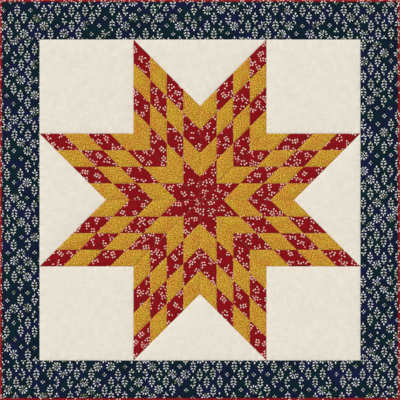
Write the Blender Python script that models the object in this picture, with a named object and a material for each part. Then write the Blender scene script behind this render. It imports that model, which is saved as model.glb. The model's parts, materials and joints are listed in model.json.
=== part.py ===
"""Star quilt blanket, laid flat: eight pieced star points on cream, four borders and a folded binding.

Each panel is one solid of the quilted layers, thinnest along its stitched seams and crowned between them.
The origin is the middle of the underside, +Z is up and +Y runs towards the top border. Sizes are in metres.
"""

import math

import bmesh
import bpy
from mathutils import Matrix, Vector

INCH = 0.0254

# Finished sizes of the patchwork.
STRIP_WIDTH = 2.5 * INCH  # of the strips that the star's small diamonds are cut from
PATCHES_A_SIDE = 4  # small diamonds along one side of a star point
STAR_POINTS = 8
BORDER_WIDTH = 6.0 * INCH  # from the inner seam to the quilt's edge, with what the binding covers
BINDING_WIDTH = 0.009  # what shows of the binding on the face

# Thicknesses, and how high each kind of panel stands above its seams.
SEAM_THICKNESS = 0.0030
PATCH_CROWN = 0.0028
BACKGROUND_CROWN = 0.0034
BORDER_CROWN = 0.0028
BINDING_CLOTH = 0.0008
GAP = 0.0003  # between neighbouring solids

# How far from a seam a panel takes to rise.
PATCH_RISE = 0.010
BACKGROUND_RISE = 0.028
BORDER_RISE = 0.022

# Worked out from the sizes above.
POINT_ANGLE = math.tau / STAR_POINTS
PATCH_SIDE = STRIP_WIDTH / math.sin(POINT_ANGLE)
POINT_SIDE = PATCHES_A_SIDE * PATCH_SIDE
BLOCK_HALF = POINT_SIDE * (1 + math.sqrt(0.5))
QUILT_HALF = BLOCK_HALF + BORDER_WIDTH
RIM_UNDERSIDE = BINDING_CLOTH + GAP  # the border's edge runs inside the binding's fold
BINDING_THICKNESS = SEAM_THICKNESS + GAP + BINDING_CLOTH
FOLD_RADIUS = BINDING_THICKNESS / 2
RIM_RAMP = 0.001  # over which the border's underside rises to clear the binding

# Where the grid lines of a panel lie, as shares of its width.
PATCH_LINES = (0.0, 0.15, 0.5, 0.85)
BACKGROUND_LINES = (0.0, 0.04, 0.12, 0.28, 0.5, 0.72, 0.88, 0.96, 1.0)
BORDER_LINES = (0.0, 0.05, 0.16, 0.5, 0.84, 0.95)
BORDER_LENGTH_LINES = (0.03, 0.08, 0.25, 0.5, 0.75, 0.92, 0.97)
FOLD_STEPS = 6  # facets round the binding's fold
FLAT_ANGLE = 0.0001  # radians, below which two neighbouring faces count as one

# Linear base colours of the fabrics.
FABRICS = {
    "red_print": (0.235, 0.018, 0.020),
    "ochre_cotton": (0.533, 0.262, 0.036),
    "cream_cotton": (0.791, 0.740, 0.642),
    "navy_print": (0.047, 0.062, 0.074),
}
ROUGHNESS = 0.9  # of dry cotton


def clear_scene():
    for obj in list(bpy.data.objects):
        bpy.data.objects.remove(obj, do_unlink=True)


def make_fabric(name, colour):
    """A matte cotton material."""
    material = bpy.data.materials.new(name)
    material.use_nodes = True
    shader = material.node_tree.nodes["Principled BSDF"]
    shader.inputs["Base Color"].default_value = (*colour, 1)
    shader.inputs["Roughness"].default_value = ROUGHNESS
    shader.inputs["Metallic"].default_value = 0.0


def sheet(columns, rows):
    """A flat grid with a point at every pair of the two rising lists of places."""
    bm = bmesh.new()
    bmesh.ops.create_grid(bm, x_segments=len(columns) - 1, y_segments=len(rows) - 1, size=0.5)
    for vert in bm.verts:
        column = round((vert.co.x + 0.5) * (len(columns) - 1))
        row = round((vert.co.y + 0.5) * (len(rows) - 1))
        vert.co = (columns[column], rows[row], 0)
    return bm


def thicken(bm, top, bottom):
    """Closes a flat sheet into a solid that reaches from bottom(point) up to top(point)."""
    under = bm.verts[:]
    raised = bmesh.ops.extrude_face_region(bm, geom=bm.faces[:])["geom"]
    over = [item for item in raised if isinstance(item, bmesh.types.BMVert)]
    for verts, height in ((over, top), (under, bottom)):
        for vert in verts:
            vert.co.z = height(vert.co)
    bmesh.ops.recalc_face_normals(bm, faces=bm.faces[:])
    under_verts = set(under)
    edges = [edge for edge in bm.edges if not under_verts.isdisjoint(edge.verts)]
    flat_edges = [edge for edge in edges if edge.calc_face_angle() < FLAT_ANGLE]
    bmesh.ops.dissolve_edges(bm, edges=flat_edges, use_verts=False)


def as_mesh(bm, name, fabrics, fabric_of=None):
    """Turns the bmesh into a mesh. fabric_of(point) picks the fabric of the face that is centred there."""
    if fabric_of:
        for face in bm.faces:
            face.material_index = fabric_of(face.calc_center_median())
    mesh = bpy.data.meshes.new(name)
    bm.to_mesh(mesh)
    bm.free()
    for name_of_fabric in fabrics:
        mesh.materials.append(bpy.data.materials[name_of_fabric])
    return mesh


def risen(distance, rise):
    """How much of its crown a panel has this far from a seam, from 0 to nearly 1."""
    return 1 - math.exp(-max(distance, 0) / rise)


def flat(point):
    """The height of the surface that the quilt lies on."""
    return 0.0


def star_point_mesh():
    """One star point: a 45 degree diamond with its tip away from the origin, crowned patch by patch."""
    places = [(patch + share) * PATCH_SIDE for patch in range(PATCHES_A_SIDE) for share in PATCH_LINES]
    places.append(POINT_SIDE)
    inset = GAP / 2 / math.sin(POINT_ANGLE)
    places[0] += inset
    places[-1] -= inset

    def from_seam(place):
        return abs(place - round(place / PATCH_SIDE) * PATCH_SIDE) * math.sin(POINT_ANGLE)

    def top(point):
        crown = risen(from_seam(point.x), PATCH_RISE) * risen(from_seam(point.y), PATCH_RISE)
        return SEAM_THICKNESS + PATCH_CROWN * crown / risen(STRIP_WIDTH / 2, PATCH_RISE) ** 2

    def fabric_of(point):
        return (int(point.x / PATCH_SIDE) + int(point.y / PATCH_SIDE)) % 2

    bm = sheet(places, places)
    thicken(bm, top, flat)
    mesh = as_mesh(bm, "star_point", ("red_print", "ochre_cotton"), fabric_of)
    skew = Matrix.Identity(4)
    skew[0][1] = math.cos(POINT_ANGLE)
    skew[1][1] = math.sin(POINT_ANGLE)
    mesh.transform(skew)
    return mesh


def background_height(distances):
    """Height of a background panel that is these distances from its sides."""
    crown = math.prod(risen(distance, BACKGROUND_RISE) for distance in distances)
    return SEAM_THICKNESS + BACKGROUND_CROWN * crown


def background_lines():
    return [GAP / 2 + share * (POINT_SIDE - GAP) for share in BACKGROUND_LINES]


def background_square_mesh():
    """A corner square, with its inner corner at the origin."""

    def top(point):
        sides = (point.x, point.y, POINT_SIDE - point.x, POINT_SIDE - point.y)
        return background_height(sides)

    bm = sheet(background_lines(), background_lines())
    thicken(bm, top, flat)
    return as_mesh(bm, "background_square", ("cream_cotton",))


def background_triangle_mesh():
    """A side triangle: half a square, cut from corner to corner, with its right angle at the origin."""

    def from_cut(point):
        return (POINT_SIDE - point.x - point.y) * math.sqrt(0.5)

    def top(point):
        return background_height((point.x, point.y, from_cut(point)))

    bm = sheet(background_lines(), background_lines())
    cut_at = (POINT_SIDE - GAP * math.sqrt(0.5), 0, 0)
    everything = bm.verts[:] + bm.edges[:] + bm.faces[:]
    bmesh.ops.bisect_plane(bm, geom=everything, plane_co=cut_at, plane_no=(1, 1, 0), clear_outer=True)
    thicken(bm, top, flat)
    return as_mesh(bm, "background_triangle", ("cream_cotton",))


def from_edge(point):
    """How far inside the quilt's outer edge a point is."""
    return QUILT_HALF - max(abs(point.x), abs(point.y))


def border_underside(point):
    """Flat on the surface, but raised where the binding's lower half runs beneath."""
    share = (BINDING_WIDTH + GAP + RIM_RAMP - from_edge(point)) / RIM_RAMP
    return RIM_UNDERSIDE * min(max(share, 0), 1)


def border_height(point, *from_seams):
    distances = (from_edge(point) - BINDING_WIDTH - GAP, *from_seams)
    crown = math.prod(risen(distance, BORDER_RISE) for distance in distances)
    return SEAM_THICKNESS + BORDER_CROWN * crown


def border_places():
    """Grid lines across a border, rising from the inner seam to the edge inside the binding."""
    inner = BLOCK_HALF + GAP / 2
    ramp = QUILT_HALF - BINDING_WIDTH - GAP - RIM_RAMP
    shown = [inner + share * (ramp - inner) for share in BORDER_LINES]
    return shown + [ramp, ramp + RIM_RAMP, QUILT_HALF - FOLD_RADIUS]


def long_border_mesh():
    """The top border, which runs the quilt's whole width."""
    across = border_places()
    end = across[-3]
    middle = [end * (2 * share - 1) for share in BORDER_LENGTH_LINES]
    along = [-place for place in reversed(across[-3:])] + middle + across[-3:]

    def top(point):
        return border_height(point, point.y - BLOCK_HALF)

    bm = sheet(along, across)
    thicken(bm, top, border_underside)
    return as_mesh(bm, "long_border", ("navy_print",))


def short_border_mesh():
    """The border on +Y between the two long ones, turned by its object to the quilt's side."""
    end = BLOCK_HALF - GAP / 2
    along = [-end] + [end * (2 * share - 1) for share in BORDER_LENGTH_LINES] + [end]

    def top(point):
        return border_height(point, point.y - BLOCK_HALF, BLOCK_HALF - abs(point.x))

    bm = sheet(along, border_places())
    thicken(bm, top, border_underside)
    return as_mesh(bm, "short_border", ("navy_print",))


def fold_arc(radius, start_angle, end_angle):
    """Points (distance in from the edge, height) round the binding's fold."""
    points = []
    for step in range(FOLD_STEPS + 1):
        angle = start_angle + (end_angle - start_angle) * step / FOLD_STEPS
        points.append((FOLD_RADIUS + radius * math.cos(angle), FOLD_RADIUS + radius * math.sin(angle)))
    return points


def binding_mesh():
    """The binding along the top edge: a strip folded round the border's edge, with mitred ends."""
    quarter = math.pi / 2
    outside = fold_arc(FOLD_RADIUS, quarter, 3 * quarter)
    inside = fold_arc(FOLD_RADIUS - BINDING_CLOTH, 3 * quarter, quarter)
    lower_lip = [(BINDING_WIDTH, 0), (BINDING_WIDTH, BINDING_CLOTH)]
    upper_lip = [(BINDING_WIDTH, BINDING_THICKNESS - BINDING_CLOTH), (BINDING_WIDTH, BINDING_THICKNESS)]
    profile = outside + lower_lip + inside + upper_lip

    bm = bmesh.new()
    end = bm.faces.new([bm.verts.new((0, QUILT_HALF - inward, height)) for inward, height in profile])
    far_end = bmesh.ops.extrude_face_region(bm, geom=[end])["geom"]
    far_verts = {item for item in far_end if isinstance(item, bmesh.types.BMVert)}
    for vert in bm.verts:
        mitre = vert.co.y - GAP / 2 * math.sqrt(2)
        vert.co.x = mitre if vert in far_verts else -mitre
    bmesh.ops.recalc_face_normals(bm, faces=bm.faces[:])
    return as_mesh(bm, "binding", ("red_print",))


def add(name, mesh, parent, location=(0, 0, 0), turns=0.0):
    """Places a panel, turned anticlockwise by that many quarter turns."""
    obj = bpy.data.objects.new(name, mesh)
    obj.location = location
    obj.rotation_euler.z = turns * math.pi / 2
    obj.parent = parent
    parent.users_collection[0].objects.link(obj)


def main():
    clear_scene()
    collection = bpy.data.collections.new("star_quilt_blanket")
    bpy.context.scene.collection.children.link(collection)
    quilt = bpy.data.objects.new("star_quilt", None)
    collection.objects.link(quilt)
    for name, colour in FABRICS.items():
        make_fabric(name, colour)

    point = star_point_mesh()
    for number in range(STAR_POINTS):
        add(f"star_point_{number + 1}", point, quilt, turns=4 * number / STAR_POINTS)

    square = background_square_mesh()
    triangle = background_triangle_mesh()
    long_border = long_border_mesh()
    short_border = short_border_mesh()
    binding = binding_mesh()
    corner = BLOCK_HALF - POINT_SIDE
    for number, side in enumerate(("top", "left", "bottom", "right")):
        turn = Matrix.Rotation(number * math.pi / 2, 4, "Z")
        square_at = turn @ Vector((corner, corner, 0))
        triangle_at = turn @ Vector((0, POINT_SIDE, 0))
        add(f"background_square_{number + 1}", square, quilt, square_at, turns=number)
        add(f"background_triangle_{number + 1}", triangle, quilt, triangle_at, turns=number + 0.5)
        border = short_border if number % 2 else long_border
        add(f"border_{side}", border, quilt, turns=number)
        add(f"binding_{side}", binding, quilt, turns=number)


main()
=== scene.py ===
"""The looks of the star quilt blanket: puffed patchwork panels in printed cottons, quilted and bound."""

import json
import math
import random

import bpy
import numpy as np
from mathutils import Vector
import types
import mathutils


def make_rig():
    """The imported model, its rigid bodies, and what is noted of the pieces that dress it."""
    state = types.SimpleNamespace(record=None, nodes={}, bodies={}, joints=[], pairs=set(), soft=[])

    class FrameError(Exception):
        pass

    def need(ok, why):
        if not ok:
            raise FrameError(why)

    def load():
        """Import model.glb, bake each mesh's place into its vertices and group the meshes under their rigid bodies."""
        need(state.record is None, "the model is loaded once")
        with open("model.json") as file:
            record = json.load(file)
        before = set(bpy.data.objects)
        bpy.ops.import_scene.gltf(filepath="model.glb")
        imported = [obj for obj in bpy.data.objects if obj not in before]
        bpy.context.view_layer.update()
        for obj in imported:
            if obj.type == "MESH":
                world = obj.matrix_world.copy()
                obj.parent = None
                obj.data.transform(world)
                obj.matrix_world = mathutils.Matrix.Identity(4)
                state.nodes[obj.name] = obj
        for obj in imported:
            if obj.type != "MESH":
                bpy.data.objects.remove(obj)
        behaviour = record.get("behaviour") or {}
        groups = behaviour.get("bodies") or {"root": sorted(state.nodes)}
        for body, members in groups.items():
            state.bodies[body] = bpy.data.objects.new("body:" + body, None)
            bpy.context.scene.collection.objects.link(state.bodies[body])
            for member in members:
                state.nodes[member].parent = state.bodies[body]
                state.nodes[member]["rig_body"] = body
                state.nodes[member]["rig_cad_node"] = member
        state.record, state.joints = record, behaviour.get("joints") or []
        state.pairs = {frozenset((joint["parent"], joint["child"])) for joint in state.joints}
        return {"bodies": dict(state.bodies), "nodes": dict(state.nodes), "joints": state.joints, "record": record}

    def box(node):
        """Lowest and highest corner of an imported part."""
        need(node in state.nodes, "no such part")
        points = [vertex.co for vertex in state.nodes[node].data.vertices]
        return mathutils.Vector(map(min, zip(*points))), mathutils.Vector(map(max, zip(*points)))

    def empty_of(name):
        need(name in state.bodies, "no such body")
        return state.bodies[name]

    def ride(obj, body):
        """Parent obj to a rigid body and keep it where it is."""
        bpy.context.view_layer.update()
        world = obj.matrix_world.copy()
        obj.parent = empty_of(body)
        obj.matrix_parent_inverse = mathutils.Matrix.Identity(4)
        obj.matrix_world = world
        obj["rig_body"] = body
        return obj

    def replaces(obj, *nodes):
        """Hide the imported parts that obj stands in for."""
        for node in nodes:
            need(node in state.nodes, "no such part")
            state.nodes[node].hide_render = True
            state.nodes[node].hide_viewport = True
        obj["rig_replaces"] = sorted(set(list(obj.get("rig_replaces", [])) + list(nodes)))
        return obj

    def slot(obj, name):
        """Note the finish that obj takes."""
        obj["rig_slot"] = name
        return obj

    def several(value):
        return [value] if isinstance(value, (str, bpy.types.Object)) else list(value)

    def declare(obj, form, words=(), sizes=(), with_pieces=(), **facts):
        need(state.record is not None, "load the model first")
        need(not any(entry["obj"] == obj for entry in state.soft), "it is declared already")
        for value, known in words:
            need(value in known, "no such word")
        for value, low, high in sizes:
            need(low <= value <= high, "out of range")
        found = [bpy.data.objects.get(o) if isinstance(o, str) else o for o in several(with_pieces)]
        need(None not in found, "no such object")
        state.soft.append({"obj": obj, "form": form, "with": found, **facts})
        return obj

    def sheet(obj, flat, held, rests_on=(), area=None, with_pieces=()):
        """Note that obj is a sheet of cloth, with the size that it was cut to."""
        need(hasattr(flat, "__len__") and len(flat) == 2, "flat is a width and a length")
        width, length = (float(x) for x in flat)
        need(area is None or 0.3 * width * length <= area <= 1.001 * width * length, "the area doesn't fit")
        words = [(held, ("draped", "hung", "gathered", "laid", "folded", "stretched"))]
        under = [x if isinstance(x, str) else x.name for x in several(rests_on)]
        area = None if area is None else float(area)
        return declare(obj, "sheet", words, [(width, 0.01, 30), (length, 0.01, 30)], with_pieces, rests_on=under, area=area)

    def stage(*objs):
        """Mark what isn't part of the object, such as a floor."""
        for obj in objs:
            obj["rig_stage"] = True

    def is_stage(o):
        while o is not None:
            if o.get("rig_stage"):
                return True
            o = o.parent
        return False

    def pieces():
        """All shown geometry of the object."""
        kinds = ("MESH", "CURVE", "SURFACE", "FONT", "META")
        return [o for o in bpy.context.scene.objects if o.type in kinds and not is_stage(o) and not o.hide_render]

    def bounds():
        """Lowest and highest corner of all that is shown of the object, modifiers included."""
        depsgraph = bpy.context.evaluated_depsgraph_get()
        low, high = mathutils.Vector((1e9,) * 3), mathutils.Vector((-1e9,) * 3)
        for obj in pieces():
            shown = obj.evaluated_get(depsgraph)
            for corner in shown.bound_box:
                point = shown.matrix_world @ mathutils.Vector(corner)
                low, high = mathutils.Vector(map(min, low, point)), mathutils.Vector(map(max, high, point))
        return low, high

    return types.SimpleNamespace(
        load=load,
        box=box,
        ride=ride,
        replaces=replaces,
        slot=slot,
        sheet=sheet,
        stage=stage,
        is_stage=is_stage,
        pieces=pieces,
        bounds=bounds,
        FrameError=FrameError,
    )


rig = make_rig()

MM = 0.001
SIDES = ("top", "left", "bottom", "right")

# The patchwork.
STAR_POINTS = 8
POINT_ANGLE = math.tau / STAR_POINTS
PATCHES_A_SIDE = 4  # small diamonds along one side of a star point
SEAM_GAP = 0.1 * MM  # between neighbouring panels

# Heights above the surface that the quilt lies on.
SEAM_HEIGHT = 2.8 * MM
SWELL = 0.35 * MM  # broad unevenness of the whole quilt
SWELL_RISE = 40 * MM  # how far from the binding it takes to begin
SWELL_WAVES = ((170 * MM, 1.0), (70 * MM, 0.6))  # each a length and a share of the height
DITCH_DEPTH, DITCH_REACH = 0.9 * MM, 2 * MM  # where the stitches pull a seam down
GROOVE_DEPTH, GROOVE_REACH = 0.6 * MM, 5 * MM  # where they pull the back up

# Crowns: how high each kind of panel stands above its seams, and how far from a seam it takes to rise.
PATCH_CROWN, PATCH_RISE = 3.3 * MM, 11 * MM
BACKGROUND_CROWN, BACKGROUND_RISE = 3.6 * MM, 24 * MM
BORDER_CROWN, BORDER_RISE = 3.4 * MM, 20 * MM
CROWN_VARIATION = 0.12
ALLOWANCE_HEIGHT, ALLOWANCE_WIDTH = 0.3 * MM, 6.4 * MM  # cloth turned under the red patches' rims
ALLOWANCE_SLOPE = 2 * MM

# Unevenness near the seams and within the panels.
PUCKER_HEIGHT, PUCKER_REACH, PUCKER_WIDTH = 1.1 * MM, 8 * MM, 10 * MM
PUCKER_STRETCH = 5  # how much longer a pucker is than wide
DRIFT_HEIGHT, DRIFT_LENGTH = 0.55 * MM, 42 * MM

# Seeds: where each kind of unevenness has its first. A panel has ten to itself.
SWELL_SEED = 1
CROWN_SEED = 3
STAR_SEED, SQUARE_SEED, TRIANGLE_SEED, BORDER_SEED = 10, 100, 200, 300
SEEDS_A_PANEL = 10
CUTTING_SEED = 7  # of the places on the cloths where the patches are cut
SCATTER, SCATTER_SCALE = (127.1, 311.7, 74.7), 43758.5453  # unrelated numbers, which leave no pattern

# The border's edge, inside the binding's fold.
RIM_HEIGHT, RIM_UNDERSIDE = 2.6 * MM, 1.2 * MM
RIM_RAMP = 2 * MM

# The binding.
BINDING_CLOTH = 0.8 * MM
BINDING_BULGE = 0.7 * MM
MITRE_REACH = 5 * MM  # how far from a corner's fold the binding is drawn down
LIP_DROP, LIP_REACH = 0.9 * MM, 2.5 * MM  # where it is sewn down on the face

# Quilting stitches along the seams, on the side that no seam allowance raises.
STITCH_PITCH, STITCH_LENGTH = 4.6 * MM, 2.6 * MM
STITCH_WIDTH = 0.5 * MM
STITCH_INSET = 0.9 * MM  # from the seam
STITCH_MARGIN = 3 * MM  # from a seam's end to its first stitch
STITCH_SHOULDER = 0.2  # the share of a stitch that dips at each end
STITCH_DIP = 0.1 * MM

# Leaves, petals and berries of both prints.
LEAF_VARIATION, RING_VARIATION = 0.3, 0.2  # of the leaves' lengths, and of the petals' distances
LEAF_ROOM, BERRY_ROOM = 0.35, 0.5  # the share of its size that each keeps clear of the next motif's cell
LEAF_POINT = 1.5  # the power that shapes a leaf's tips: 2 makes them round, and 1 makes them sharp
EDGE_SHARPNESS = 6
RAGGED_LENGTH = 1.5 * MM  # of the unevenness along a printed leaf's edge
RAGGEDNESS = 0.6
BERRY_SPREAD = 0.6

# Steps lead from a motif to the next ones on its cloth. Spread, from 0 to 1, is how irregular they are, and
# headings are how many directions a motif may point in. A spray or sprig has so many rows of paired leaves
# above and below its middle row. They lean by degrees, start beside its stem and taper towards its ends, and
# its bend curves it. A burst has petals on a ring of that radius. Bare is the share of leaves left out.

# The red print: sprays, bursts and clusters of berries, tossed in all directions.
RED_STEPS = ((38 * MM, 0), (0, 38 * MM))
RED_SPREAD = 0.45
RED_HEADINGS = 16
RED_SPRAY = {
    "rows": 1, "pitch": 9.5 * MM, "leaf": 8.5 * MM, "width": 4.8 * MM, "stem": 1.6 * MM,
    "lean": 35, "taper": 0.2, "bend": 20, "bare": 0.12,
}
RED_BURST = (
    {"petals": 5, "ring": 7 * MM, "leaf": 6.5 * MM, "width": 4.8 * MM, "bare": 0.1},
    {"petals": 9, "ring": 16 * MM, "leaf": 7 * MM, "width": 4.8 * MM, "bare": 0.6},
)
RED_BERRIES = {"spacing": 10.5 * MM, "size": 5.6 * MM, "reach": 16 * MM}
RED_KINDS = (0.45, 0.8)  # random numbers up to these are sprays and bursts, and the rest are berries

# The navy print: upright and hanging sprigs in half-dropped columns, with blossoms and small dots among them.
NAVY_WIDE, NAVY_TALL = 52 * MM, 60 * MM
NAVY_STEPS = ((NAVY_WIDE / 2, NAVY_TALL / 2), (NAVY_WIDE / 2, -NAVY_TALL / 2))
NAVY_SPREAD = 0.12
NAVY_HEADINGS = 2
NAVY_SPRIG = {
    "rows": 1, "pitch": 10.2 * MM, "leaf": 11.5 * MM, "width": 4 * MM, "stem": 2 * MM,
    "lean": 30, "taper": 0.25, "bend": 0, "bare": 0.06,
}
NAVY_STALK = (-24 * MM, -12 * MM, 2.6 * MM)  # its lower end, its upper end and its width
NAVY_TIP = (12.5 * MM, 22 * MM, 5 * MM)
STALK_TONE = 0.45
NAVY_BLOSSOM = (
    {"petals": 4, "ring": 5 * MM, "leaf": 5 * MM, "width": 3.6 * MM, "bare": 0.1},
    {"petals": 9, "ring": 13.5 * MM, "leaf": 8.5 * MM, "width": 4.4 * MM, "bare": 0.05},
)
NAVY_DOTS = {"petals": 4, "ring": 5.5 * MM, "leaf": 4.6 * MM, "width": 4.2 * MM, "bare": 0.0}
NAVY_KINDS = (0.16, 0.4)  # random numbers up to these are dots and blossoms, and the rest are sprigs

# Dyes, inks and a painted shade: ramps of colours on a scale of 0 to 255, each with its place on the ramp.
RED_DYE = ((0.35, (126, 21, 22)), (0.5, (136, 13, 20)), (0.65, (152, 11, 26)))
PINK_INK = ((0.1, (255, 158, 150)), (0.4, (255, 204, 194)), (0.9, (255, 234, 222)))
NAVY_DYE = ((0.38, (8, 36, 42)), (0.5, (10, 28, 44)), (0.62, (20, 26, 62)))
PALE_INK = ((0.1, (120, 132, 84)), (0.3, (196, 198, 176)), (0.5, (244, 246, 238)), (0.85, (240, 243, 255)))
OCHRE_DYE = ((0.36, (126, 88, 0)), (0.46, (178, 128, 14)), (0.54, (214, 155, 40)), (0.62, (250, 194, 94)))
CREAM_DYE = ((0.35, (236, 228, 212)), (0.65, (239, 233, 220)))
# The thread's ecru dye, from painted shade in its twist's grooves to painted light on its ridges.
THREAD_DYE_AND_TWIST_SHADE = ((0.0, (222, 196, 166)), (1.0, (246, 228, 204)))

# How far the dyes' uneven places are across.
RED_CLOUDS, NAVY_CLOUDS, CREAM_CLOUDS = 16 * MM, 60 * MM, 30 * MM
OCHRE_MOTTLE = 3.8 * MM
OCHRE_CLOUDS, OCHRE_HUES = 45 * MM, 0.08  # the ochre's drift from olive to orange, as a share of all hues
NEUTRAL_HUE = 0.5  # the setting that leaves a colour as it is
DETAIL, SMOOTH_DETAIL, CLOUD_DETAIL = 2.0, 1.0, 3.0  # how much finer unevenness there is in a noise

# The cloth.
WEAVE_PITCH = 0.7 * MM
YARN_WIDTH, YARN_LENGTH = 1.6 * MM, 24 * MM
SLUB_WIDTH, SLUB_LENGTH = 3.4 * MM, 40 * MM
WARP_SEED, WEFT_SEED, HUE_SEED = 3.0, 7.0, 5.0
DARKEST, SLUB_LIGHT, YARN_LIGHT = 0.77, 0.32, 0.14  # a brightness, and what the lightest slubs and yarns add
SMOOTHEST, YARN_ROUGHNESS = 0.8, 0.2
SPECULAR, SHEEN, SHEEN_ROUGHNESS = 0.08, 0.06, 0.25
BUMP_STRENGTH = 0.6
CROSSING_HEIGHT = 0.5  # of the crossing yarns, against their unevenness
RELIEF, CREAM_RELIEF, THREAD_RELIEF = 0.2 * MM, 0.25 * MM, 0.05 * MM

# Fineness of the meshes.
PATCH_CELLS = 20
SQUARE_CELLS = 96
TRIANGLE_CELLS = 104
BORDER_CELLS = 34  # across
RIM_CELLS = 4  # across what the binding covers
LONG_CELL = 4 * MM  # along borders and bindings
CROWDING, TRIANGLE_CROWDING = 0.6, 0.3  # how much closer grid lines lie at a seam than half way
FOLD_STEPS = 8
LIP_STEPS = 5
SHARP_ANGLE = math.radians(50)  # above which an edge isn't shaded smooth

# How a panel's maps share its baked image: its face, its rim and its back.
BAKED_FACE = (0.17, 1.0)
BAKED_RIM = (0.145, 0.165)
BAKED_BACK = (0.0, 0.14)
BAKED_WHOLE = (0, 1)
BAKED_MARGIN = 0.01
BORDER_BAKED_ROWS = 3  # a long panel's image is cut into rows
BINDING_BAKED_ROWS = 8

# Light, floor and the photo's framing.
WORLD_LIGHT = 0.47
KEY_LIGHT = 1.95
KEY_DIRECTION = (-0.55, 0.6, 1.0)  # from the quilt towards the light
KEY_WIDTH = math.radians(25)
FLOOR_SIZE = 40.0
FLOOR_DROP = 0.5 * MM
FLOOR_COLOUR = (226, 224, 220)
CAMERA_HEIGHT = 12.0
SENSOR_MM = 36.0
FRAME_TRIM = 1.2 * MM  # how much of the quilt's edge the photo's frame cuts off


class Sizes:
    """The quilt's dimensions, worked out from the frame."""

    def __init__(self):
        self.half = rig.bounds()[1][0]
        inner_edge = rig.box("border_top")[0][1]
        block_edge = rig.box("background_square_1")[1][1]
        self.block_half = (inner_edge + block_edge) / 2
        self.point_side = self.block_half / (1 + math.sqrt(0.5))
        self.patch_side = self.point_side / PATCHES_A_SIDE
        self.rim_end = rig.box("border_top")[1][1]
        low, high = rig.box("binding_top")
        self.binding_width = high[1] - low[1]
        self.binding_height = high[2]
        self.shown_half = self.half - self.binding_width  # from the centre to where the binding begins


# Unevenness that is the same each run


def random_at(column, row, seed):
    """A random number from -1 to 1 for each whole column and row."""
    for_column, for_row, for_seed = SCATTER
    value = np.sin(column * for_column + row * for_row + seed * for_seed) * SCATTER_SCALE
    return 2 * (value - np.floor(value)) - 1


def ease(share):
    share = np.clip(share, 0, 1)
    return share * share * (3 - 2 * share)


def noise(x, y, size, seed):
    """Smooth random values from -1 to 1 that change over about that size."""
    u, v = x / size, y / size
    column, row = np.floor(u), np.floor(v)
    u, v = ease(u - column), ease(v - row)
    low = random_at(column, row, seed) * (1 - u) + random_at(column + 1, row, seed) * u
    high = random_at(column, row + 1, seed) * (1 - u) + random_at(column + 1, row + 1, seed) * u
    return low * (1 - v) + high * v


# Heights


def risen(distance, rise):
    """How much of its crown a panel has this far from a seam."""
    return 1 - np.exp(-np.maximum(distance, 0) / rise)


def puckers(along, distance, seed):
    """Small wrinkles square to a seam, strongest a little way from it."""
    near = np.maximum(distance, 0) / PUCKER_REACH
    height = PUCKER_HEIGHT * near * np.exp(1 - near)
    return height * noise(along, distance / PUCKER_STRETCH, PUCKER_WIDTH, seed)


def swell(sizes, x, y):
    """Broad waves over the whole quilt, which die out at its binding."""
    from_binding = sizes.shown_half - np.maximum(np.abs(x), np.abs(y))
    waves = 0
    for number, (length, share) in enumerate(SWELL_WAVES):
        waves = waves + share * noise(x, y, length, SWELL_SEED + number)
    return SWELL * risen(from_binding, SWELL_RISE) * waves


def quilted(sizes, x, y, walls, crown, rise, seed):
    """Heights above and below of cloth held down along its walls, each a (distance, place along) pair."""
    nearest = np.minimum.reduce([distance for distance, along in walls])
    inside = np.prod([risen(distance, rise) for distance, along in walls], axis=0)
    wrinkles = sum(puckers(along, distance, seed + number) for number, (distance, along) in enumerate(walls))
    drift = DRIFT_HEIGHT * inside * noise(x, y, DRIFT_LENGTH, seed)
    ditch = DITCH_DEPTH * np.exp(-((nearest / DITCH_REACH) ** 2))
    above = SEAM_HEIGHT + crown * inside + wrinkles + drift + swell(sizes, x, y) - ditch
    below = GROOVE_DEPTH * np.exp(-((nearest / GROOVE_REACH) ** 2))
    return above, below


# Meshes


def crowded(cells, start, end, crowding=CROWDING):
    """Rising places from start to end, closest together at both ends."""
    share = np.linspace(0, 1, cells + 1)
    share -= crowding * np.sin(math.tau * share) / math.tau
    return start + share * (end - start)


def crossed(columns, rows):
    """Every pair of a column's and a row's place, as two long lists."""
    return [places.ravel() for places in np.meshgrid(columns, rows, indexing="ij")]


def grid_faces(columns, rows):
    """The faces of a grid whose points are numbered along each column in turn."""
    column, row = crossed(np.arange(columns - 1), np.arange(rows - 1))
    first = column * rows + row
    return np.stack([first, first + rows, first + rows + 1, first + 1], axis=1)


def half_grid_faces(lines):
    """The faces of a square grid that lie below its diagonal cut. A triangle repeats its last point."""
    faces = grid_faces(lines, lines)
    reach = faces[:, 0] // lines + faces[:, 0] % lines
    on_cut = reach == lines - 2
    faces[on_cut, 2] = faces[on_cut, 3]
    return faces[reach <= lines - 2]


def turned(x, y, angle):
    return x * np.cos(angle) - y * np.sin(angle), x * np.sin(angle) + y * np.cos(angle)


def within(part, share):
    """A share of the way through one part of the baked image, clear of its edges."""
    low, high = part
    return low + (high - low) * (BAKED_MARGIN + (1 - 2 * BAKED_MARGIN) * share)


def in_rows(u, v, face_of, rows):
    """Places on a square image for a long strip that is cut into rows."""
    along = u * rows
    row = np.floor(np.bincount(face_of, along) / np.bincount(face_of))[face_of]
    return within(BAKED_WHOLE, along - row), (row + within(BAKED_WHOLE, v)) / rows


def write_map(mesh, name, u, v):
    layer = mesh.uv_layers.new(name=name)
    layer.uv.foreach_set("vector", np.column_stack([u, v]).astype(np.float32).ravel())


def add_piece(name, mesh, materials, slot):
    for material in materials:
        mesh.materials.append(material)
    mesh.shade_smooth()
    mesh.set_sharp_from_angle(angle=SHARP_ANGLE)
    piece = bpy.data.objects.new(name, mesh)
    bpy.context.scene.collection.objects.link(piece)
    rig.ride(piece, "root")
    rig.slot(piece, slot)
    return piece


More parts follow.
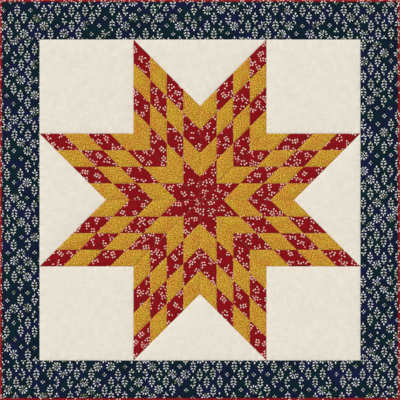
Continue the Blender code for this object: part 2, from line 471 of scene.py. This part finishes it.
class Panel:
    """A closed panel of quilted cloth, drawn on the flat as points joined into faces.

    first and second are the points' places along the flat panel's two directions, in metres. laid gives where
    such places lie in the quilt: x, y, and the heights of its face and its back. Each face has the number of
    its patch, and of its fabric.
    """

    def __init__(self, laid, first, second, faces, baked_rows=1):
        used, faces_of_used = np.unique(faces, return_inverse=True)
        first, second = first[used], second[used]
        self.laid = laid
        self.x, self.y, self.above, self.below = laid(first, second)
        self.u = (first - first.min()) / np.ptp(first)
        self.v = (second - second.min()) / np.ptp(second)
        self.faces = faces_of_used.reshape(faces.shape)
        self.baked_rows = baked_rows
        self.patch = np.zeros(len(faces), dtype=int)
        self.fabric = np.zeros(len(faces), dtype=int)

    def rim(self):
        """The outer edges' first points, second points and faces."""
        count = len(self.x)
        start = self.faces.ravel()
        end = np.roll(self.faces, -1, axis=1).ravel()
        alone = ~np.isin(start * count + end, end * count + start)
        owner = np.repeat(np.arange(len(self.faces)), 4)
        return start[alone], end[alone], owner[alone]

    def build(self, node, fabrics, back, slot, cuts):
        """Makes the piece. cuts holds each patch's angle and offset on the cloth that it was cut from."""
        count = len(self.x)
        start, end, owner = self.rim()
        sides = np.stack([start, start + count, end + count, end], axis=1)
        corner_lists = np.concatenate([self.faces, self.faces[:, ::-1] + count, sides]).tolist()
        faces = [tuple(dict.fromkeys(corners)) for corners in corner_lists]
        heights = np.concatenate([self.above, self.below])
        points = np.column_stack([np.tile(self.x, 2), np.tile(self.y, 2), heights])
        mesh = bpy.data.meshes.new(node)
        mesh.from_pydata(points.tolist(), [], faces)

        on_back = np.full(len(self.faces), len(fabrics))
        fabric = np.concatenate([self.fabric, on_back, self.fabric[owner]])
        mesh.polygons.foreach_set("material_index", fabric.astype(np.int32))
        corners = np.concatenate(faces)
        face_of = np.repeat(np.arange(len(faces)), [len(face) for face in faces])
        patch = np.concatenate([self.patch, self.patch, self.patch[owner]])[face_of]
        angle, shift_x, shift_y = np.array(cuts)[patch].T
        x, y = turned(self.x[corners % count], self.y[corners % count], angle)
        write_map(mesh, "cloth", x + shift_x, y + shift_y)
        write_map(mesh, "OFBake", *self.baked(corners, face_of, len(sides)))
        piece = add_piece(f"cloth_{node}", mesh, [*fabrics, back], slot)
        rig.replaces(piece, node)
        return piece

    def baked(self, corners, face_of, sides):
        """Where each corner lies on the baked image."""
        point = corners % len(self.x)
        on_back = corners >= len(self.x)
        u, across = in_rows(self.u[point], self.v[point], face_of, self.baked_rows)
        v = np.where(on_back, within(BAKED_BACK, across), within(BAKED_FACE, across))
        first_side = face_of[-1] + 1 - sides
        on_rim = face_of >= first_side
        u[on_rim] = (face_of[on_rim] - first_side + np.tile([0, 0, 1, 1], sides)) / sides
        v[on_rim] = within(BAKED_RIM, ~on_back[on_rim])
        return u, v

    def quilt(self, node, thread, seams):
        """Stitches along seams, each a (start, end) pair of places on the flat panel."""
        ends = np.concatenate([stitch_ends(*seam) for seam in seams], axis=1)
        x, y, above, _ = self.laid(ends[..., 0], ends[..., 1])
        return sew(f"stitches_{node}", *np.stack([x, y, above], axis=-1), thread)


# Sewing


def stitch_ends(start, end):
    """The stitches' first and last places along a seam."""
    start, run = np.array(start), np.subtract(end, start)
    length = np.hypot(*run)
    sewn = length - 2 * STITCH_MARGIN
    count = int(sewn / STITCH_PITCH)
    middles = STITCH_MARGIN + (np.arange(count) + 0.5) * sewn / count
    shares = np.stack([middles - STITCH_LENGTH / 2, middles + STITCH_LENGTH / 2]) / length
    return start + shares[..., None] * run


def spindle():
    """A stitch's faces, and where their corners lie on its map.

    Its points are one end, two rings of a point for each of its four sides, and the other end.
    """
    sides = 4
    first_ring, second_ring, last = 1, 1 + sides, 1 + 2 * sides
    faces, places = [], []
    for side in range(sides):
        after = (side + 1) % sides
        faces += [
            (0, first_ring + after, first_ring + side),
            (first_ring + side, first_ring + after, second_ring + after, second_ring + side),
            (second_ring + side, second_ring + after, last),
        ]
        places += [(0, side + 0.5), (1, side + 1), (1, side)]
        places += [(1, side), (1, side + 1), (2, side + 1), (2, side)]
        places += [(2, side), (2, side + 1), (3, side + 0.5)]
    return faces, np.array(places) / (3, sides)


def sew(name, starts, ends, thread):
    """Stitches from starts to ends, each a four-sided spindle that dips into the cloth at both ends."""
    along = ends - starts
    up = np.array([0, 0, STITCH_WIDTH / 2])
    across = np.cross(up, along) / np.linalg.norm(along, axis=1)[:, None]
    rings = [
        starts + along * share + offset
        for share in (STITCH_SHOULDER, 1 - STITCH_SHOULDER)
        for offset in (across, up, -across, -up)
    ]
    dip = np.array([0, 0, STITCH_DIP])
    points = np.stack([starts - dip, *rings, ends - dip], axis=1)
    faces, places = spindle()
    count = len(starts)
    first_points = range(0, points.shape[0] * points.shape[1], points.shape[1])
    all_faces = [[first + corner for corner in face] for first in first_points for face in faces]
    mesh = bpy.data.meshes.new(name)
    mesh.from_pydata(points.reshape(-1, 3).tolist(), [], all_faces)
    length, girth = np.tile(places, (count, 1)).T
    write_map(mesh, "cloth", length * STITCH_LENGTH, girth * math.pi * STITCH_WIDTH)
    number = np.repeat(np.arange(count), len(places))
    rows = math.ceil(math.sqrt(count))
    u = (number % rows + within(BAKED_WHOLE, length)) / rows
    v = (number // rows + within(BAKED_WHOLE, girth)) / rows
    write_map(mesh, "OFBake", u, v)
    return add_piece(name, mesh, [thread], "cream_cotton")


# The panels


def star_point(sizes, number):
    """A 45 degree diamond with its tip away from the quilt's centre, crowned patch by patch."""
    patch = sizes.patch_side
    sine, cosine = math.sin(POINT_ANGLE), math.cos(POINT_ANGLE)
    full = risen(patch * sine / 2, PATCH_RISE) ** 2
    seed = STAR_SEED + SEEDS_A_PANEL * number

    def laid(first, second):
        x, y = turned(first + second * cosine, second * sine, number * POINT_ANGLE)
        first_seam, second_seam = np.round(first / patch), np.round(second / patch)
        from_first = np.abs(first - first_seam * patch) * sine
        from_second = np.abs(second - second_seam * patch) * sine
        column, row = (np.clip(place // patch, 0, PATCHES_A_SIDE - 1) for place in (first, second))
        variation = CROWN_VARIATION * random_at(column + PATCHES_A_SIDE * number, row, CROWN_SEED)
        walls = ((from_first, second + first_seam), (from_second, first + second_seam))
        crown = PATCH_CROWN / full * (1 + variation)
        above, below = quilted(sizes, x, y, walls, crown, PATCH_RISE, seed)
        nearest = np.minimum(from_first, from_second)
        allowance = ease(nearest / ALLOWANCE_SLOPE) * ease((ALLOWANCE_WIDTH - nearest) / ALLOWANCE_SLOPE)
        above += ALLOWANCE_HEIGHT * allowance * ((column + row) % 2 == 0)
        return x, y, above, below

    lines = np.concatenate(
        [crowded(PATCH_CELLS, place * patch, (place + 1) * patch)[:-1] for place in range(PATCHES_A_SIDE)]
    )
    lines = np.append(lines, sizes.point_side)
    lines[0] += SEAM_GAP / 2 / sine
    lines[-1] -= SEAM_GAP / 2 / sine
    panel = Panel(laid, *crossed(lines, lines), grid_faces(len(lines), len(lines)))
    column, row = (
        np.floor(share[panel.faces].mean(axis=1) * PATCHES_A_SIDE).astype(int) for share in (panel.u, panel.v)
    )
    panel.patch = column * PATCHES_A_SIDE + row
    panel.fabric = (column + row) % 2
    return panel


def star_point_seams(sizes):
    """Every seam between two patches of a star point, on the ochre side, and its seam to the point before."""
    patch = sizes.patch_side
    inset = STITCH_INSET / math.sin(POINT_ANGLE)
    seams = [((0, inset), (sizes.point_side, inset))]
    for seam in range(1, PATCHES_A_SIDE):
        for row in range(PATCHES_A_SIDE):
            place = seam * patch + (inset if (seam + row) % 2 else -inset)
            start, end = row * patch, (row + 1) * patch
            seams += [((place, start), (place, end)), ((start, place), (end, place))]
    return seams


def background_square(sizes, number):
    """A corner square, set in between two star points."""
    side = sizes.point_side
    corner = sizes.block_half - side
    seed = SQUARE_SEED + SEEDS_A_PANEL * number

    def laid(across, up):
        x, y = turned(corner + across, corner + up, number * math.pi / 2)
        walls = ((across, up), (side - across, up), (up, across), (side - up, across))
        return x, y, *quilted(sizes, x, y, walls, BACKGROUND_CROWN, BACKGROUND_RISE, seed)

    lines = crowded(SQUARE_CELLS, SEAM_GAP / 2, side - SEAM_GAP / 2)
    return Panel(laid, *crossed(lines, lines), grid_faces(len(lines), len(lines)))


def background_triangle(sizes, number):
    """A side triangle, with its right angle towards the quilt's centre."""
    side = sizes.point_side
    seed = TRIANGLE_SEED + SEEDS_A_PANEL * number

    def laid(across, up):
        x, y = turned(across, up, math.pi / 4)
        x, y = turned(x, y + side, number * math.pi / 2)
        from_cut = (side - across - up) * math.sqrt(0.5)
        walls = ((across, up), (up, across), (from_cut, across - up))
        return x, y, *quilted(sizes, x, y, walls, BACKGROUND_CROWN, BACKGROUND_RISE, seed)

    end = side - SEAM_GAP / 2 - SEAM_GAP * math.sqrt(0.5)
    lines = crowded(TRIANGLE_CELLS, SEAM_GAP / 2, end, TRIANGLE_CROWDING)
    return Panel(laid, *crossed(lines, lines), half_grid_faces(len(lines)))


def square_seams(sizes):
    """A corner square's seams to two star points and two borders."""
    side = sizes.point_side
    return [
        seam
        for place in (STITCH_INSET, side - STITCH_INSET)
        for seam in (((place, 0), (place, side)), ((0, place), (side, place)))
    ]


def triangle_seams(sizes):
    """A side triangle's seams to two star points, and along its cut to a border."""
    side = sizes.point_side
    cut = side - STITCH_INSET / math.sqrt(0.5)
    star_seams = [((STITCH_INSET, 0), (STITCH_INSET, side)), ((0, STITCH_INSET), (side, STITCH_INSET))]
    return [*star_seams, ((cut, 0), (0, cut))]


def border(sizes, turns):
    """The top or bottom border, which is the quilt's whole width, or a shorter one at its side."""
    seam = sizes.block_half
    is_long = turns % 2 == 0
    seed = BORDER_SEED + SEEDS_A_PANEL * turns

    def laid(along, out):
        x, y = turned(along, out, turns * math.pi / 2)
        from_binding = sizes.shown_half - np.maximum(np.abs(along), out)
        walls = [(out - seam, along), (np.maximum(from_binding, 0), along)]
        if not is_long:
            walls.append((seam - np.abs(along), out))
        above, below = quilted(sizes, x, y, walls, BORDER_CROWN, BORDER_RISE, seed)
        tuck = ease(1 - from_binding / RIM_RAMP)
        above += (RIM_HEIGHT - above) * tuck
        below += (RIM_UNDERSIDE - below) * tuck
        return x, y, above, below

    end = sizes.rim_end if is_long else seam - SEAM_GAP / 2
    shown = crowded(BORDER_CELLS, seam + SEAM_GAP / 2, sizes.shown_half)
    rows = np.concatenate([shown, np.linspace(sizes.shown_half, sizes.rim_end, RIM_CELLS + 1)[1:]])
    cells = BORDER_BAKED_ROWS * round(2 * end / LONG_CELL / BORDER_BAKED_ROWS)
    columns = np.linspace(-end, end, cells + 1)
    return Panel(laid, *crossed(columns, rows), grid_faces(len(columns), len(rows)), BORDER_BAKED_ROWS)


# The binding


def binding(sizes, turns, cloth):
    """The strip folded round one edge, with mitred ends."""
    width, radius = sizes.binding_width, sizes.binding_height / 2
    fold = np.linspace(math.pi / 2, 3 * math.pi / 2, FOLD_STEPS + 1)
    lip = np.linspace(width, radius, LIP_STEPS + 1)[:-1]
    inward = np.concatenate([lip, radius + radius * np.cos(fold), lip[::-1]])
    height = np.concatenate([lip * 0 + 2 * radius, radius + radius * np.sin(fold), lip * 0])
    arc = np.append(0, np.cumsum(np.hypot(np.diff(inward), np.diff(height))))
    cells = BINDING_BAKED_ROWS * round(2 * sizes.half / LONG_CELL / BINDING_BAKED_ROWS)
    share, number = crossed(np.linspace(0, 1, cells + 1), np.arange(len(arc)))
    inward, height, arc = inward[number], height[number], arc[number]

    end = sizes.half - inward - SEAM_GAP * math.sqrt(0.5)
    along = (2 * share - 1) * end
    over = ease(height / radius - 1)
    from_mitre = (end - np.abs(along)) * math.sqrt(0.5)
    fullness = ease(from_mitre / MITRE_REACH)
    stitched = 1 - ease((width - inward) / LIP_REACH)
    height += over * (BINDING_BULGE * fullness * np.sin(math.pi * inward / width) - LIP_DROP * stitched)
    x, y = turned(along, sizes.half - inward, turns * math.pi / 2)

    faces = grid_faces(cells + 1, len(fold) + 2 * len(lip))
    mesh = bpy.data.meshes.new("binding")
    mesh.from_pydata(np.column_stack([x, y, height]).tolist(), [], faces.tolist())
    corners = faces.ravel()
    write_map(mesh, "cloth", along[corners], (turns + arc)[corners])
    places = share[corners], (arc / arc.max())[corners]
    write_map(mesh, "OFBake", *in_rows(*places, np.repeat(np.arange(len(faces)), 4), BINDING_BAKED_ROWS))
    node = f"binding_{SIDES[turns]}"
    piece = add_piece(f"cloth_{node}", mesh, [cloth], "red_print")
    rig.replaces(piece, node)
    thickness = piece.modifiers.new("cloth", "SOLIDIFY")
    thickness.thickness = BINDING_CLOTH
    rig.sheet(piece, flat=(2 * sizes.half, arc.max()), held="laid")


# Nodes


def srgb(red, green, blue):
    """A linear colour from one on a scale of 0 to 255, by the numbers of the sRGB standard."""
    shares = np.array([red, green, blue]) / 255
    linear = np.where(shares > 0.04045, ((shares + 0.055) / 1.055) ** 2.4, shares / 12.92)
    return (*linear.tolist(), 1.0)


def plug(value, socket):
    """Links a value to a node's input, or sets the input where the value is a plain one."""
    if isinstance(value, Value):
        socket.id_data.links.new(value.socket, socket)
    else:
        socket.default_value = value


def compute(operation, *values):
    """A math node on these values, at least one of which isn't a plain number."""
    tree = next(value.socket.id_data for value in values if isinstance(value, Value))
    node = tree.nodes.new("ShaderNodeMath")
    node.operation = operation
    for value, socket in zip(values, node.inputs):
        plug(value, socket)
    return Value(node.outputs[0])


class Value:
    """Something that a material works out at every point of the cloth. Arithmetic on it makes math nodes."""

    def __init__(self, socket):
        self.socket = socket

    def __add__(self, other):
        return compute("ADD", self, other)

    def __sub__(self, other):
        return compute("SUBTRACT", self, other)

    def __rsub__(self, other):
        return compute("SUBTRACT", other, self)

    def __mul__(self, other):
        return compute("MULTIPLY", self, other)

    __radd__, __rmul__ = __add__, __mul__

    def __truediv__(self, other):
        return compute("DIVIDE", self, other)

    def __pow__(self, other):
        return compute("POWER", self, other)

    def __gt__(self, other):
        return compute("GREATER_THAN", self, other)

    def __lt__(self, other):
        return compute("LESS_THAN", self, other)

    def __abs__(self):
        return compute("ABSOLUTE", self)

    def __round__(self):
        return compute("ROUND", self)


def larger(first, second):
    return compute("MAXIMUM", first, second)


def smaller(first, second):
    return compute("MINIMUM", first, second)


def root(value):
    return compute("SQRT", value)


def combined(x, y, steps):
    """So many of the first step and so many of the second, each an (x, y) pair of numbers."""
    (first_x, first_y), (second_x, second_y) = steps
    return x * first_x + y * second_x, x * first_y + y * second_y


# Cottons


class Cotton:
    """A cotton's material, and the means to print it. x and y are places on the cloth in metres."""

    def __init__(self, name):
        self.material = bpy.data.materials.new(name)
        self.material.use_nodes = True
        self.tree = self.material.node_tree
        self.shader = self.tree.nodes["Principled BSDF"]
        self.shader.inputs["Specular IOR Level"].default_value = SPECULAR
        self.shader.inputs["Sheen Weight"].default_value = SHEEN
        self.shader.inputs["Sheen Roughness"].default_value = SHEEN_ROUGHNESS
        place = self.node("ShaderNodeUVMap", uv_map="cloth")
        split = self.node("ShaderNodeSeparateXYZ", {"Vector": Value(place.outputs[0])})
        self.x, self.y = Value(split.outputs["X"]), Value(split.outputs["Y"])

    def node(self, kind, inputs=None, **settings):
        node = self.tree.nodes.new(kind)
        for name, setting in settings.items():
            setattr(node, name, setting)
        for name, value in (inputs or {}).items():
            plug(value, node.inputs[name])
        return node

    def vector(self, x, y, z=0.0):
        return Value(self.node("ShaderNodeCombineXYZ", {"X": x, "Y": y, "Z": z}).outputs[0])

    def noise(self, length, width=None, detail=DETAIL, seed=0.0):
        """Soft random values from 0 to 1, whose patches are about this long and wide."""
        place = self.vector(self.x / length, self.y / (width or length), seed)
        node = self.node("ShaderNodeTexNoise", {"Vector": place, "Scale": 1.0, "Detail": detail})
        return Value(node.outputs["Fac"])

    def random(self, x, y, z=0.0):
        """Three random numbers from 0 to 1 that belong to these values."""
        node = self.node("ShaderNodeTexWhiteNoise", {"Vector": self.vector(x, y, z)})
        split = self.node("ShaderNodeSeparateColor", {"Color": Value(node.outputs["Color"])})
        return [Value(output) for output in split.outputs]

    def cells(self, u, v, spread, feature="F1"):
        """Cells about 1 across, round scattered centres. The feature says what is measured in them."""
        inputs = {"Vector": self.vector(u, v), "Scale": 1.0, "Randomness": spread}
        return self.node("ShaderNodeTexVoronoi", inputs, voronoi_dimensions="2D", feature=feature)

    def nearest(self, u, v, spread):
        """The nearest of the scattered centres, and its three random numbers."""
        found = self.cells(u, v, spread).outputs
        centre = self.node("ShaderNodeSeparateXYZ", {"Vector": Value(found["Position"])}).outputs
        key = self.node("ShaderNodeSeparateColor", {"Color": Value(found["Color"])}).outputs
        return (Value(centre["X"]), Value(centre["Y"])), [Value(output) for output in key]

    def mix(self, share, first, second):
        """A mix of two colours. Their sockets share names with sockets for numbers, so they go by place."""
        node = self.node("ShaderNodeMix", data_type="RGBA")
        plug(share, node.inputs["Factor"])
        plug(first, node.inputs[6])
        plug(second, node.inputs[7])
        return Value(node.outputs[2])

    def shades(self, value, stops):
        """Colours along a ramp, each stop a (value, colour) pair."""
        node = self.node("ShaderNodeValToRGB", {"Fac": value})
        ramp = node.color_ramp
        while len(ramp.elements) < len(stops):
            ramp.elements.new(0.5)
        for element, (position, colour) in zip(ramp.elements, stops):
            element.position = position
            element.color = srgb(*colour)
        return Value(node.outputs["Color"])

    def lightened(self, colour, by):
        return Value(self.node("ShaderNodeHueSaturation", {"Color": colour, "Value": by}).outputs[0])

    def streaks(self, width, length):
        """Uneven yarns along and across the cloth, from 0 to 1."""
        warp = self.noise(width, length, SMOOTH_DETAIL, WARP_SEED)
        weft = self.noise(length, width, SMOOTH_DETAIL, WEFT_SEED)
        return (warp + weft) * 0.5

    def finish(self, colour, relief=RELIEF):
        """Sets the colour with its slubs, the dry roughness of cotton, and the relief of its weave."""
        yarns = self.streaks(YARN_WIDTH, YARN_LENGTH)
        slubs = self.streaks(SLUB_WIDTH, SLUB_LENGTH)
        over_under = abs(compute("SINE", self.x * (math.pi / WEAVE_PITCH)))
        over_under *= abs(compute("SINE", self.y * (math.pi / WEAVE_PITCH)))
        brightness = DARKEST + slubs * SLUB_LIGHT + yarns * YARN_LIGHT
        plug(self.lightened(colour, brightness), self.shader.inputs["Base Color"])
        plug(SMOOTHEST + yarns * YARN_ROUGHNESS, self.shader.inputs["Roughness"])
        height = yarns + over_under * CROSSING_HEIGHT
        bump = self.node("ShaderNodeBump", {"Strength": BUMP_STRENGTH, "Distance": relief, "Height": height})
        plug(Value(bump.outputs["Normal"]), self.shader.inputs["Normal"])
        return self.material


class Motifs:
    """Motifs repeated over a cotton. x and y are places from the nearest one's centre, along its own axes."""

    def __init__(self, cotton, steps, spread, headings):
        self.cotton, self.spread = cotton, spread
        self.to_cells = np.linalg.inv(steps).tolist()
        self.cell_size = math.sqrt(abs(np.linalg.det(steps)))
        u, v = combined(cotton.x, cotton.y, self.to_cells)
        self.centre, self.key = cotton.nearest(u, v, spread)
        x, y = combined(u - self.centre[0], v - self.centre[1], steps)
        angle = compute("FLOOR", self.key[0] * headings) * (math.tau / headings)
        self.cosine, self.sine = compute("COSINE", angle), compute("SINE", angle)
        self.x = x * self.cosine - y * self.sine
        self.y = x * self.sine + y * self.cosine
        self.ragged = (cotton.noise(RAGGED_LENGTH, detail=SMOOTH_DETAIL) - 0.5) * RAGGEDNESS

    def room(self, x, y):
        """How far a place, in this motif's own axes, is from where its neighbours' cells begin."""
        x, y = x * self.cosine + y * self.sine, y * self.cosine - x * self.sine
        u, v = combined(x, y, self.to_cells)
        place = self.centre[0] + u, self.centre[1] + v
        cell = self.cotton.cells(*place, self.spread, "DISTANCE_TO_EDGE")
        return Value(cell.outputs["Distance"]) * self.cell_size

    def stamp(self, along, across, length, width):
        """1 on a leaf of this length and width, and 0 off it, with a slightly ragged edge."""
        reach = (along / (length * 0.5)) ** 2 + abs(across / (width * 0.5)) ** LEAF_POINT
        return smaller(larger((1 - reach + self.ragged) * EDGE_SHARPNESS, 0), 1)


def varied(dice, variation):
    """A factor of about 1 from a random number. Its smallest and largest are this far apart."""
    return dice * variation + (1 - variation / 2)


def sprig(motifs, rows, pitch, leaf, width, stem, lean, taper, bend, bare):
    """A stem of paired leaves, on both sides of it and leaning up: where they are, and how light each is."""
    lean = math.radians(lean)
    bent = (motifs.key[1] - 0.5) * (2 * bend)
    y = motifs.y + pitch / 2
    x = motifs.x - bent * y**2
    side, right = abs(x), x > 0
    climb = y - side * math.tan(lean)
    row = smaller(larger(round(climb / pitch), -rows), rows)
    rise = climb - row * pitch
    dice = motifs.cotton.random(motifs.key[1], row, right)
    length = (1 - (row / rows) ** 2 * taper) * varied(dice[1], LEAF_VARIATION) * leaf
    along = side / math.cos(lean) + rise * math.sin(lean) - stem
    leaves = motifs.stamp(along - length * 0.5, rise * math.cos(lean), length, width)
    middle_side = (length * 0.5 + stem) * math.cos(lean)
    middle_y = row * pitch + middle_side * math.tan(lean)
    middle_x = middle_side * (right * 2 - 1) + bent * middle_y**2
    whole = motifs.room(middle_x, middle_y - pitch / 2) > length * LEAF_ROOM
    return leaves * whole * (dice[0] > bare), along / length * 0.5 + dice[2] * 0.5


def burst(motifs, petals, ring, leaf, width, bare):
    """A ring of leaves that point away from the centre: where they are, and how light each is."""
    turn = compute("ARCTAN2", motifs.y, motifs.x) * (petals / math.tau)
    petal = round(turn)
    from_centre = root(motifs.x**2 + motifs.y**2)
    dice = motifs.cotton.random(motifs.key[1], compute("FLOORED_MODULO", petal, petals), petals)
    distance = varied(dice[1], RING_VARIATION) * ring
    across = (turn - petal) * (math.tau / petals) * from_centre
    leaves = motifs.stamp(from_centre - distance, across, leaf, width)
    heading = petal * (math.tau / petals)
    middle = compute("COSINE", heading) * distance, compute("SINE", heading) * distance
    whole = motifs.room(*middle) > leaf * LEAF_ROOM
    return leaves * whole * (dice[0] > bare), dice[2]


def berries(motifs, spacing, size, reach):
    """A loose cluster of round berries: where they are, and how light each is."""
    u, v = motifs.x / spacing, motifs.y / spacing
    centre, key = motifs.cotton.nearest(u, v, BERRY_SPREAD)
    middle = centre[0] * spacing, centre[1] * spacing
    inside = root(middle[0] ** 2 + middle[1] ** 2) < reach
    berry = motifs.stamp(motifs.x - middle[0], motifs.y - middle[1], size, size)
    whole = motifs.room(*middle) > size * BERRY_ROOM
    return berry * whole * inside, key[2]


def both(first, second):
    """Two printed forms as one: the second only shows where the first isn't."""
    share = first[0]
    return larger(share, second[0]), second[1] + (first[1] - second[1]) * share


def one_or_other(choice, first, second):
    """The first printed form where choice is 1, and the second where it is 0."""
    return tuple(after + (before - after) * choice for before, after in zip(first, second))


def red_print():
    """Dark red calico, tossed with small pink sprays, bursts and berries."""
    cotton = Cotton("red_print")
    motifs = Motifs(cotton, RED_STEPS, RED_SPREAD, RED_HEADINGS)
    spray = sprig(motifs, **RED_SPRAY)
    bursts = both(*(burst(motifs, **ring) for ring in RED_BURST))
    cluster = berries(motifs, **RED_BERRIES)
    kind = motifs.key[2]
    round_ones = one_or_other(kind < RED_KINDS[1], bursts, cluster)
    printed, tone = one_or_other(kind < RED_KINDS[0], spray, round_ones)
    dye = cotton.shades(cotton.noise(RED_CLOUDS, detail=CLOUD_DETAIL), RED_DYE)
    return cotton.finish(cotton.mix(printed, dye, cotton.shades(tone, PINK_INK)))


def navy_print():
    """Dark navy calico with pale sprigs and blossoms in half-dropped columns."""
    cotton = Cotton("navy_print")
    motifs = Motifs(cotton, NAVY_STEPS, NAVY_SPREAD, NAVY_HEADINGS)
    leaves = sprig(motifs, **NAVY_SPRIG)
    for low, high, width in (NAVY_STALK, NAVY_TIP):
        stalk = motifs.stamp(motifs.y - (low + high) / 2, motifs.x, high - low, width)
        leaves = both(leaves, (stalk, STALK_TONE))
    blossom = both(*(burst(motifs, **ring) for ring in NAVY_BLOSSOM))
    dots = burst(motifs, **NAVY_DOTS)
    kind = motifs.key[2]
    large_ones = one_or_other(kind < NAVY_KINDS[1], blossom, leaves)
    printed, tone = one_or_other(kind < NAVY_KINDS[0], dots, large_ones)
    dye = cotton.shades(cotton.noise(NAVY_CLOUDS, detail=CLOUD_DETAIL), NAVY_DYE)
    return cotton.finish(cotton.mix(printed, dye, cotton.shades(tone, PALE_INK)))


def ochre_cotton():
    """Golden ochre cotton, mottled from olive to orange."""
    cotton = Cotton("ochre_cotton")
    dye = cotton.shades(cotton.noise(OCHRE_MOTTLE), OCHRE_DYE)
    drift = cotton.noise(OCHRE_CLOUDS, detail=CLOUD_DETAIL, seed=HUE_SEED)
    hue = drift * OCHRE_HUES + (NEUTRAL_HUE - OCHRE_HUES / 2)
    dye = Value(cotton.node("ShaderNodeHueSaturation", {"Color": dye, "Hue": hue}).outputs[0])
    return cotton.finish(dye)


def cream_cotton():
    """Plain cream cotton with slightly uneven yarns."""
    cotton = Cotton("cream_cotton")
    dye = cotton.shades(cotton.noise(CREAM_CLOUDS), CREAM_DYE)
    return cotton.finish(dye, CREAM_RELIEF)


def ecru_thread():
    """Quilting thread in ecru, with painted shade and painted light in stripes that follow its twist."""
    cotton = Cotton("ecru_thread")
    # Painted shade: darker and lighter helical stripes stand in for the shade of the twisted plies.
    painted_twist_shade = compute("SINE", (cotton.x + cotton.y) * (math.tau / STITCH_WIDTH)) * 0.5 + 0.5
    return cotton.finish(cotton.shades(painted_twist_shade, THREAD_DYE_AND_TWIST_SHADE), THREAD_RELIEF)


# The whole scene


def lay_floor():
    bpy.ops.mesh.primitive_plane_add(size=FLOOR_SIZE, location=(0, 0, -FLOOR_DROP))
    floor = bpy.context.object
    floor.name = "floor"
    paint = bpy.data.materials.new("floor")
    paint.use_nodes = True
    paint.node_tree.nodes["Principled BSDF"].inputs["Base Color"].default_value = srgb(*FLOOR_COLOUR)
    floor.data.materials.append(paint)
    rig.stage(floor)


def light():
    """Soft light from all round, with a wide key light from the upper left."""
    world = bpy.data.worlds.new("studio")
    world.use_nodes = True
    world.node_tree.nodes["Background"].inputs["Strength"].default_value = WORLD_LIGHT
    world.node_tree.nodes["Background"].inputs["Color"].default_value = (1, 1, 1, 1)
    bpy.context.scene.world = world
    sun = bpy.data.lights.new("key", "SUN")
    sun.energy = KEY_LIGHT
    sun.angle = KEY_WIDTH
    key = bpy.data.objects.new("key", sun)
    key.rotation_euler = Vector(KEY_DIRECTION).to_track_quat("Z", "Y").to_euler()
    bpy.context.scene.collection.objects.link(key)


def look_down(sizes):
    """A long lens straight above, framing the quilt edge to edge as the photo does."""
    lens = bpy.data.cameras.new("camera")
    lens.sensor_width = SENSOR_MM
    lens.lens = SENSOR_MM * (CAMERA_HEIGHT - SEAM_HEIGHT) / (2 * (sizes.half - FRAME_TRIM))
    camera = bpy.data.objects.new("camera", lens)
    camera.location.z = CAMERA_HEIGHT
    bpy.context.scene.collection.objects.link(camera)
    bpy.context.scene.camera = camera


def cut(chance, angle):
    """Where on its cloth a patch is cut: at this angle, and at a random offset."""
    return angle, chance.random(), chance.random()


def build_star_point(sizes, number, fabrics, cream, thread, chance):
    """A star point with its stitches, each patch cut from another place on its cloth."""
    node = f"star_point_{number + 1}"
    cuts = [cut(chance, chance.uniform(0, math.tau)) for _ in range(PATCHES_A_SIDE**2)]
    panel = star_point(sizes, number)
    piece = panel.build(node, fabrics, cream, "red_print", cuts)
    stitches = panel.quilt(node, thread, star_point_seams(sizes))
    side = sizes.point_side
    lean = side * math.cos(POINT_ANGLE), side * math.sin(POINT_ANGLE)
    flat = (side + lean[0], lean[1])
    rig.sheet(piece, flat=flat, held="laid", area=side * lean[1], with_pieces=[stitches])


def build_backgrounds(sizes, number, cream, thread, chance):
    """A corner square and a side triangle with their stitches."""
    side = sizes.point_side
    cuts = [cut(chance, number * math.pi / 2)]
    for panel, kind, seams, area in (
        (background_square(sizes, number), "background_square", square_seams(sizes), side**2),
        (background_triangle(sizes, number), "background_triangle", triangle_seams(sizes), side**2 / 2),
    ):
        node = f"{kind}_{number + 1}"
        piece = panel.build(node, [cream], cream, "cream_cotton", cuts)
        stitches = panel.quilt(node, thread, seams)
        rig.sheet(piece, flat=(side, side), held="laid", area=area, with_pieces=[stitches])


def build_border(sizes, number, navy, cream, chance):
    cuts = [cut(chance, 0)]
    panel = border(sizes, number)
    piece = panel.build(f"border_{SIDES[number]}", [navy], cream, "navy_print", cuts)
    length = np.ptp(panel.y if number % 2 else panel.x)
    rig.sheet(piece, flat=(length, sizes.rim_end - sizes.block_half), held="laid")


def build_quilt(sizes):
    red, ochre, cream, navy, thread = red_print(), ochre_cotton(), cream_cotton(), navy_print(), ecru_thread()
    chance = random.Random(CUTTING_SEED)
    for number in range(STAR_POINTS):
        build_star_point(sizes, number, [red, ochre], cream, thread, chance)
    for number in range(len(SIDES)):
        build_backgrounds(sizes, number, cream, thread, chance)
        build_border(sizes, number, navy, cream, chance)
        binding(sizes, number, red)


def main():
    cad_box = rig.bounds()
    sizes = Sizes()
    build_quilt(sizes)
    lay_floor()
    light()
    look_down(sizes)
    bpy.context.scene.view_settings.view_transform = "Standard"
    with open("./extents.json", "w") as file:
        json.dump([[list(corner) for corner in box] for box in (cad_box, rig.bounds())], file)


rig.load()
main()
